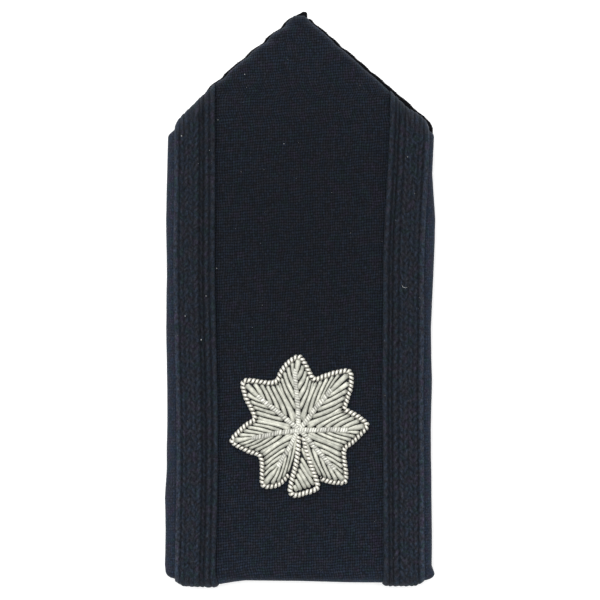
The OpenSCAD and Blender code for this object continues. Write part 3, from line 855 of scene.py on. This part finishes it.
braid_cloth, tree, shader = new_finish(
    "navy_braid", Roughness=0.8, Specular_IOR_Level=0.12, Sheen_Weight=0.06,
    Sheen_Roughness=0.4, Sheen_Tint=(0.6, 0.8, 1, 1),
)
chart = add_node(tree, "TexCoord", {}).outputs["UV"]
drawn_out = add_node(tree, "Mapping", {"Vector": chart, "Scale": (4.6, 2.4, 1)}).outputs[0]
fibres = add_node(tree, "TexNoise", {"Vector": drawn_out, "Scale": 1, "Detail": 4}).outputs["Fac"]
yarn = navy_yarn(tree, fibres, (0.0035, 0.0045, 0.0073), (0.0241, 0.0306, 0.0443), 600)
finish_surface(tree, shader, scaled(tree, yarn, tone_of(tree)), fibres, 0.5, 0.00012)

for side, name in ((-1, "left"), (1, "right")):
    top_columns = []
    for low, high in zip(rib_edges[side], rib_edges[side][1:]):
        top_columns += [mix(low, high, k / COLUMNS_A_RIB) for k in range(COLUMNS_A_RIB)]
    top_columns.append(1)
    rows, tones = [], []
    for stop, value in braid_stops:
        relief = 1 if stop == "flat" else mix(1, TURNED_RELIEF, math.sin(value))
        row, shades = [], []
        for u in top_columns:
            level = braid_point(u, stop, value, 0, side)
            run = level.y + (level.z if stop != "flat" else ROLL_Z + ROLL)
            height, shade = strands(u, run, side)
            lengthwise_tone = numpy.interp(level.y, lengthwise_tone_ys, lengthwise_tones) - LENGTHWISE_TONE_MEAN
            row.append(braid_point(u, stop, value, LAY_GAP + BRAID_T + height * relief, side))
            shades.append(shade * (1 + BRAID_LENGTHWISE_TONE * lengthwise_tone))
        row += [braid_point(u, stop, value, LAY_GAP, side) for u in under_columns]
        # Painted shade on the sides and underside.
        shades += [UNDER_SHADE] * len(under_columns)
        row.append(row[0].copy())
        shades.append(shades[0])
        rows.append(row)
        tones.append(shades)
    braid_shape = bmesh.new()
    lay_grid(braid_shape, rows, tones)
    close_ends(braid_shape)
    braid = make_piece("ribbed_braid_" + name, braid_shape, braid_cloth)
    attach(braid, "root")
    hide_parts("braid_" + name)


# The leaf is worked over a pad of grey-blue felt cut to its seven lobes. Only thin dark
# lines of the pad show, between the bars of bullion.
LEAF_HALF = 15.03
LEAF_Y = END_Y + 34.54
LEAF_SHIFT = 0.2
PAD_T = 0.8
EDGING_D = 1.14
leaf_mid = Vector((-LEAF_SHIFT, LEAF_Y, 0))
leaf_z = face_z(0, LEAF_Y) + LAY_GAP
lobes = [
    [(-0.32, -0.57), (-0.27, -0.79), (-0.39, -0.84), (-0.53, -0.83), (-0.55, -0.66),
     (-0.55, -0.5), (-0.59, -0.38)],
    [(-0.72, -0.13), (-0.75, -0.32), (-0.89, -0.25), (-1, -0.17), (-0.9, -0.04),
     (-0.78, 0.07), (-0.66, 0.16)],
    [(-0.63, 0.51), (-0.71, 0.32), (-0.79, 0.48), (-0.83, 0.71), (-0.63, 0.715),
     (-0.46, 0.69), (-0.33, 0.72)],
    [(-0.06, 0.91), (-0.265, 0.86), (-0.15, 1), (0, 1.08), (0.1, 0.95),
     (0.17, 0.81), (0.24, 0.745)],
    [(0.47, 0.6), (0.4, 0.8), (0.57, 0.85), (0.75, 0.86), (0.77, 0.66),
     (0.715, 0.46), (0.675, 0.31)],
    [(0.75, -0.01), (0.76, 0.255), (0.89, 0.18), (1.01, 0.06), (0.9, -0.08),
     (0.79, -0.19), (0.675, -0.28)],
    [(0.54, -0.6), (0.67, -0.45), (0.69, -0.62), (0.68, -0.775), (0.54, -0.785),
     (0.43, -0.765), (0.32, -0.725)],
]
LOBE_KNOTS = 6
leaf_knots = [(-0.168, -0.668)] + [knot for lobe in lobes for knot in lobe[1:]]
stem_knots = [
    (-0.012, -0.1), (-0.014, -0.25), (-0.027, -0.39), (-0.049, -0.52), (-0.075, -0.626),
    (-0.106, -0.742), (-0.127, -0.847), (-0.13, -0.93), (-0.085, -0.975), (0, -0.972),
    (0.11, -0.937), (0.205, -0.912), (0.275, -0.86), (0.262, -0.773), (0.231, -0.668),
    (0.189, -0.552), (0.148, -0.426), (0.104, -0.28), (0.068, -0.11),
]


def on_leaf(spot):
    """A point of the board from shares of the leaf's half width, across and along."""
    return leaf_mid + LEAF_HALF * Vector((spot[0], spot[1], 0))


def curve_at(knots, t):
    """A smooth curve through its knots, at knot number t."""
    last = len(knots) - 1
    i = min(int(t), last - 1)
    f = t - i
    p, q, r, s = (Vector(knots[max(0, min(last, k))]) for k in (i - 1, i, i + 1, i + 2))
    bend = 2 * q + (r - p) * f + (2 * p - 5 * q + 4 * r - s) * f * f
    return on_leaf((bend + (3 * q - p - 3 * r + s) * f ** 3) / 2)


def curve_line(knots, samples):
    """The whole curve, with that many points between each two knots."""
    count = (len(knots) - 1) * samples
    return [curve_at(knots, k / samples) for k in range(count + 1)]


def moved_right(line, distance):
    """A line of points moved to its right."""
    moved = []
    for k, spot in enumerate(line):
        moved.append(spot + distance * heading_at(line, k).cross(UP))
    return moved


felt, tree, shader = new_finish(
    "grey_felt", Roughness=0.95, Sheen_Weight=0.15, Specular_IOR_Level=0.2
)
hairs = speckles(tree, 2600, 4)
felt_tint = blend(tree, hairs, (0.004, 0.005, 0.007), (0.026, 0.028, 0.032))
finish_surface(tree, shader, felt_tint, hairs, 0.6, 0.0001)

felt_shape = bmesh.new()
felt_rim = moved_right(curve_line(leaf_knots, 4), EDGING_D / 2)
rim = [felt_shape.verts.new(spot) for spot in felt_rim]
bmesh.ops.contextual_create(felt_shape, geom=rim)
for vert in felt_shape.verts:
    vert.co.z = leaf_z - LAY_GAP
thicken(felt_shape, PAD_T + LAY_GAP)
felt_pad = make_piece("leaf_felt", felt_shape, felt, smooth=False)
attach(felt_pad, "root")
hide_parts("leaf_padding")


# Each lobe is filled with bars of smooth bullion, a hollow coil of silver wire cut to length
# and sewn down like a bead. They run fishbone fashion from the vein out to the cord.
WORK_Z = leaf_z + PAD_T + LAY_GAP
BARS_A_SIDE = 5
BAR_HEIGHT = 0.36
BAR_FILL = 0.87
BAR_BOXY = 0.62
BAR_BLUNT = 0.9
BAR_BOW = 0.035
BAR_UNEVEN = 0.16
BAR_ARCH = 0.12
BAR_SINK = 0.06
VEIN_END_HALF = 0.42
BAR_WIDENING = 0.4
WIDEST_HALF = 0.6
END_SHARE = 0.2
VEIN_END_DROP = 0.1
RIM_END_DROP = 0.2
ROOT_SPREAD = 0.9
FIRST_LINE = 0.15
BAR_STEPS = 14
BAR_SIDES = 12


def on_rim(lobe, way, f, further=0):
    """Where a line of the fishbone ends at the cord, or some knots further round the leaf."""
    knot = LOBE_KNOTS * (lobe + (1 + way * f) / 2) + further
    return curve_at(leaf_knots, max(0, min(len(leaf_knots) - 1, knot)))


def bar_line(lobe, way, f, s):
    """A point on a line of the fishbone: f from the tip to the notch, s from vein to rim."""
    root = leaf_mid.lerp(on_leaf(lobes[lobe][0]), (1 - f) ** ROOT_SPREAD)
    rim = on_rim(lobe, way, f)
    aside = (rim - root).cross(UP)
    uneven = wobble(3 * f + 10 * lobe, 2.5 * s + 5 * way, 1, BAR_UNEVEN) * aside.normalized()
    return root.lerp(rim, s) + (aside * way * BAR_BOW + uneven) * math.sin(math.pi * s)


def lay_bar(shape, left_edge, right_edge, sway, tone):
    """Lay one bar between two edge lines, from the vein down to the rim."""
    middles = [(left + right) / 2 for left, right in zip(left_edge, right_edge)]
    centres, halves = [], []
    last = len(middles) - 1
    for k, middle in enumerate(middles):
        s = k / last
        heading = heading_at(middles, k)
        across = right_edge[k] - left_edge[k]
        gap = (across - heading * heading.dot(across)).length
        drop = RIM_END_DROP * held((s - 1) / END_SHARE + 1) ** 2
        drop += VEIN_END_DROP * held(1 - s / END_SHARE)
        z = WORK_Z + BAR_HEIGHT - BAR_SINK + BAR_ARCH * math.sin(math.pi * s) - drop + sway
        centres.append(Vector((middle.x, middle.y, z)))
        half = min(VEIN_END_HALF + BAR_WIDENING * s, WIDEST_HALF, gap / 2 * BAR_FILL)
        blunt = math.sqrt(held(min(k, last - k) / BAR_BLUNT))
        halves.append((half * blunt, BAR_HEIGHT * blunt))
    lay_tube(shape, centres, BAR_SIDES, halves, BAR_BOXY, tone)


def line_stretch(lobe, way, f, start, end):
    """Points along a line of the fishbone, between two shares of it."""
    shares = [mix(start, end, k / BAR_STEPS) for k in range(BAR_STEPS + 1)]
    return [bar_line(lobe, way, f, s) for s in shares]


VEIN_CLEAR = 0.22
CORD_OVERLAP = 0.08
VEIN_SLANT = 0.3
CORD_SLANT = 0.5


def clear_share(lobe, way, f):
    """Shares of a fishbone line at which it leaves the vein and meets the cord."""
    root, rim = bar_line(lobe, way, f, 0), bar_line(lobe, way, f, 1)
    length = (rim - root).length
    along = (rim - root) / length
    vein = (on_leaf(lobes[lobe][0]) - leaf_mid).normalized()
    cord = (on_rim(lobe, way, f, 0.1) - on_rim(lobe, way, f, -0.1)).normalized()
    past_vein = VEIN_CLEAR / max(VEIN_SLANT, along.cross(vein).length)
    past_cord = (EDGING_D / 2 - CORD_OVERLAP) / max(CORD_SLANT, along.cross(cord).length)
    return past_vein / length, 1 - past_cord / length


bullion, tree, shader = new_finish(
    "silver_bullion", Metallic=0.55, Roughness=0.45, Specular_IOR_Level=0.4
)
tarnish = speckles(tree, 900, 3)
silver = dye_range(tree, tarnish, [(0.34, (0.345, 0.348, 0.303)), (0.66, (0.53, 0.527, 0.458))])
dulled = scaled(tree, silver, tone_of(tree))
finish_surface(tree, shader, dulled, turns_across(tree, 1.9, 0.3, "Y"), 0.15, 0.00003)

random.seed(11)
for lobe in range(len(lobes)):
    bars_shape = bmesh.new()
    for way in (-1, 1):
        by_stem = (lobe, way) in ((0, -1), (len(lobes) - 1, 1))
        count = BARS_A_SIDE - 1 if by_stem else BARS_A_SIDE
        lines = [mix(FIRST_LINE, 1, k / count) for k in range(count + 1)]
        for f, g in zip(lines, lines[1:]):
            start, end = clear_share(lobe, way, (f + g) / 2)
            edges = [line_stretch(lobe, way, line, start, end) for line in (f, g)]
            sway = random.uniform(-0.03, 0.03)
            lay_bar(bars_shape, *edges, sway, random.uniform(0.84, 1.14))
    tip_sides = [line_stretch(lobe, way, FIRST_LINE, -0.1, 1) for way in (-1, 1)]
    lay_bar(bars_shape, *tip_sides, 0, 1)
    bars = make_piece(f"bullion_lobe_{lobe + 1}", bars_shape, bullion)
    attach(bars, "root")
    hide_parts(f"lobe_bars_{lobe + 1}")

stem_bars = [
    [(0.035, -0.26), (0.128, -0.465)], [(0.015, -0.4), (0.2, -0.715)],
    [(-0.002, -0.48), (0.222, -0.835)], [(-0.02, -0.565), (0.165, -0.872)],
    [(-0.038, -0.64), (0.1, -0.885)], [(-0.06, -0.735), (0.03, -0.905)],
    [(-0.075, -0.83), (-0.03, -0.915)],
]
STEM_BAR_HALF = 0.45
STEM_LIFT = 0.45
STEM_ARCH = 0.3
STEM_BLUNT = 1.6
stem_shape = bmesh.new()
for foot, head in stem_bars:
    a, b = on_leaf(foot), on_leaf(head)
    centres, halves = [], []
    for k in range(BAR_STEPS + 1):
        s = k / BAR_STEPS
        centre = a.lerp(b, s)
        centre.z = leaf_z + STEM_LIFT + STEM_ARCH * math.sin(math.pi * s)
        blunt = math.sqrt(held(min(k, BAR_STEPS - k) / STEM_BLUNT))
        centres.append(centre)
        halves.append((STEM_BAR_HALF * blunt, BAR_HEIGHT * blunt))
    lay_tube(stem_shape, centres, BAR_SIDES, halves, BAR_BOXY)
stem_work = make_piece("bullion_stem", stem_shape, bullion)
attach(stem_work, "root")
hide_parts("stem_bars")


# The veins are check purl: wire coiled on a square rod, so that its turns catch the light
# one by one. Each vein covers the inner ends of the bars down the middle of its lobe.
VEIN_HALF = 0.64
VEIN_HEIGHT = 0.36
VEIN_BOXY = 0.55
PURL_PITCH = 0.58
STEPS_A_TURN = 12
WIRE_SIDES = 10
VEIN_STOPS = 12
VEIN_PAST = 0.05
VEIN_SWAY = 0.3
VEIN_LIFT = 0.46
VEIN_STEP = 0.05


def evenly_spaced(line, pitch):
    """The same line with its points an even distance apart."""
    runs = [0]
    for a, b in zip(line, line[1:]):
        runs.append(runs[-1] + (b - a).length)
    stops = numpy.linspace(0, runs[-1], round(runs[-1] / pitch) + 1)
    parts = [numpy.interp(stops, runs, [spot[axis] for spot in line]) for axis in range(3)]
    return [Vector(spot) for spot in zip(*parts)]


def wind(shape, line, half, half_height, pitch, wire_out, wire_beside, boxy, coil_boxy, dull):
    """Wind one wire in close turns round a line, to a coil of that half width and height. The
    wire's own half widths are given outwards and along the coil. Boxy squares its section,
    and coil_boxy the coil's. Dull is how much duller than bright a turn can be, and it also
    sets how unevenly the turns lie."""
    stops = evenly_spaced(line, pitch / STEPS_A_TURN)
    last = len(stops) - 1
    wire = []
    for k, spot in enumerate(stops):
        turn = k / STEPS_A_TURN
        sideways = heading_at(stops, k).cross(UP)
        inward = wire_out - wobble(turn, last, 1.3, 0.06 + 0.1 * dull)
        up, out = boxed(2 * math.pi * (turn + wobble(turn, last, 2, dull)), coil_boxy)
        wire.append(spot + (half - inward) * out * sideways + (half_height - inward) * up * UP)
    rings = []
    for k, centre in enumerate(wire):
        heading = heading_at(wire, k)
        outward = (centre - stops[k]).normalized()
        outward = (outward - heading * outward.dot(heading)).normalized()
        beside = heading.cross(outward)
        blunt = math.sqrt(held(min(k, last - k) / 2))
        ring = []
        for i in range(WIRE_SIDES + 1):
            along, out = boxed(2 * math.pi * i / WIRE_SIDES, boxy)
            ring.append(centre + blunt * (outward * wire_out * out + beside * wire_beside * along))
        rings.append(ring)
    bright = [1 - dull * random.random() for _ in range(last // STEPS_A_TURN + 2)]
    turn_tones = [bright[(k + STEPS_A_TURN // 2) // STEPS_A_TURN] for k in range(last + 1)]
    lay_grid(shape, rings, [[tone] * (WIRE_SIDES + 1) for tone in turn_tones])


purl, tree, shader = new_finish("check_purl", Metallic=0.5, Roughness=0.42)
silver = blend(tree, speckles(tree, 1900, 2), (0.42, 0.42, 0.37), (0.9, 0.89, 0.81))
tree.links.new(scaled(tree, silver, tone_of(tree)), shader.inputs["Base Color"])

for lobe in range(len(lobes)):
    vein_shape = bmesh.new()
    vein_end = on_leaf(lobes[lobe][0])
    line = []
    for k in range(VEIN_STOPS + 1):
        spot = leaf_mid.lerp(vein_end, mix(-VEIN_PAST, 1, k / VEIN_STOPS))
        spot.x += wobble(k, lobe * 3, 4, VEIN_SWAY)
        spot.y += wobble(k, lobe * 3 + 50, 4, VEIN_SWAY)
        spot.z = WORK_Z + VEIN_LIFT + VEIN_STEP * (lobe % 3)
        line.append(spot)
    wind(
        vein_shape, line, VEIN_HALF, VEIN_HEIGHT, PURL_PITCH,
        wire_out=0.18, wire_beside=0.31, boxy=0.8, coil_boxy=VEIN_BOXY, dull=0.45,
    )
    vein = make_piece(f"vein_purl_{lobe + 1}", vein_shape, purl)
    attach(vein, "root")
    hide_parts(f"vein_{lobe + 1}")


# A cord of thick silver wire wound in close turns is couched round the leaf, and a second
# one round the stem. Each turn lies a little aslant, like a row of grains. The stem's cord
# climbs over the ends of the bars as it comes to the veins.
CORD_PITCH = 0.88
CORD_EXTRA = 0.06
CORD_CLEAR = 0.02
CORE_HALF = 0.31
# The core is painted near black, as painted shade in the gaps between the turns.
CORE_SHADE = 0.04
CORD_LIFT = 0.95
CORD_LIFT_RUN = 11
CORD_LIFT_SOFT = 3
cord_silver, tree, shader = new_finish("silver_cord", Metallic=0.5, Roughness=0.4)
silver = blend(tree, speckles(tree, 1100, 3), (0.66, 0.635, 0.55), (0.98, 0.96, 0.88))
dulled = scaled(tree, silver, tone_of(tree))
finish_surface(tree, shader, dulled, turns_across(tree, 1.7, 0.5, "Y"), 0.15, 0.00003)

for name, knots, node in (
    ("leaf_cord", leaf_knots, "leaf_edging"), ("stem_cord", stem_knots, "stem_edging")
):
    cord_shape = bmesh.new()
    line = curve_line(knots, 8)
    for spot in line:
        by_veins = held((CORD_LIFT_RUN - (spot - leaf_mid).length) / CORD_LIFT_SOFT)
        spot.z = face_z(spot.x, spot.y) + EDGING_D / 2 + CORD_CLEAR + CORD_LIFT * by_veins
    wind(
        cord_shape, line, EDGING_D / 2 + CORD_EXTRA, EDGING_D / 2 + CORD_CLEAR, CORD_PITCH,
        wire_out=0.29, wire_beside=0.3, boxy=0.55, coil_boxy=1, dull=0.15,
    )
    # A near-black core inside each coil, painted shade so the gaps between the turns show dark.
    core_halves = [(0, 0), *[(CORE_HALF, CORE_HALF)] * (len(line) - 2), (0, 0)]
    lay_tube(cord_shape, line, 8, core_halves, tone=CORE_SHADE)
    cord = make_piece(name, cord_shape, cord_silver)
    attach(cord, "root")
    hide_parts(node)


# Worn cloth picks up lint: pale specks caught in the weave and the braids, and one short
# bent fibre beside the right braid.
lint_spots = [
    (-21.8, -1.2, 0.13), (-25.7, -3.6, 0.14), (-22.1, -8.9, 0.14), (-29.6, -5.4, 0.11),
    (-3.6, 35, 0.13), (-26.5, 36.7, 0.15), (-18.4, 40.4, 0.1), (-28.2, 33.4, 0.1),
    (-20.3, 33.5, 0.1), (-22.7, 30.5, 0.08), (-12.4, 50.6, 0.12), (18.5, -61.4, 0.16),
    (-6.7, 56.7, 0.1), (24.1, 32, 0.1), (-18.7, 7.1, 0.14), (-21, 0.9, 0.13),
]
LINT_GAP = 0.05
LINT_COUNT = 60
LINT_FLAT = 0.5
LEAF_CLEAR = 1.15
FIBRE_GAP = 0.15
FIBRE_HALF = 0.06


def top_z(x, y):
    """Height of what lies uppermost at a point: the cloth or a braid."""
    side = -1 if x < 0 else 1
    u = (abs(braid_x(y, 0, side)) - abs(x)) / BRAID_W
    if 0 < u < 1 and y < slant_start(u, side):
        return face_z(x, y) + LAY_GAP + BRAID_T + strands(u, y + ROLL_Z + ROLL, side)[0]
    return face_z(x, y)


lint_finish, tree, shader = new_finish("pale_lint", Roughness=1, Specular_IOR_Level=0.1)
pale = blend(tree, speckles(tree, 400, 2), (0.16, 0.17, 0.2), (0.5, 0.5, 0.47))
tree.links.new(pale, shader.inputs["Base Color"])

random.seed(5)
for _ in range(LINT_COUNT):
    x, y = random.uniform(-29, 29), random.uniform(-62, 54)
    lint_spots.append((x, y, random.uniform(0.03, 0.065)))
lint_shape = bmesh.new()
for x, y, size in lint_spots:
    by_leaf = math.hypot(x + LEAF_SHIFT, y - LEAF_Y) < LEAF_HALF * LEAF_CLEAR
    if by_leaf or edge_distance(x, y) < ROLL:
        continue
    speck = bmesh.ops.create_icosphere(lint_shape, subdivisions=1, radius=size)["verts"]
    bmesh.ops.scale(lint_shape, vec=(1, random.uniform(0.5, 1.3), LINT_FLAT), verts=speck)
    bmesh.ops.translate(lint_shape, vec=(x, y, top_z(x, y) + LINT_GAP), verts=speck)
fibre_spots = [(22.7, 3.5), (23, 2.9), (23.6, 2.7), (24.3, 3)]
fibre = [Vector((x, y, top_z(x, y) + FIBRE_GAP)) for x, y in fibre_spots]
lay_tube(lint_shape, fibre, 5, [(0, 0), *[(FIBRE_HALF, FIBRE_HALF)] * 2, (0, 0)])
lint = make_piece("lint", lint_shape, lint_finish)
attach(lint, "root")
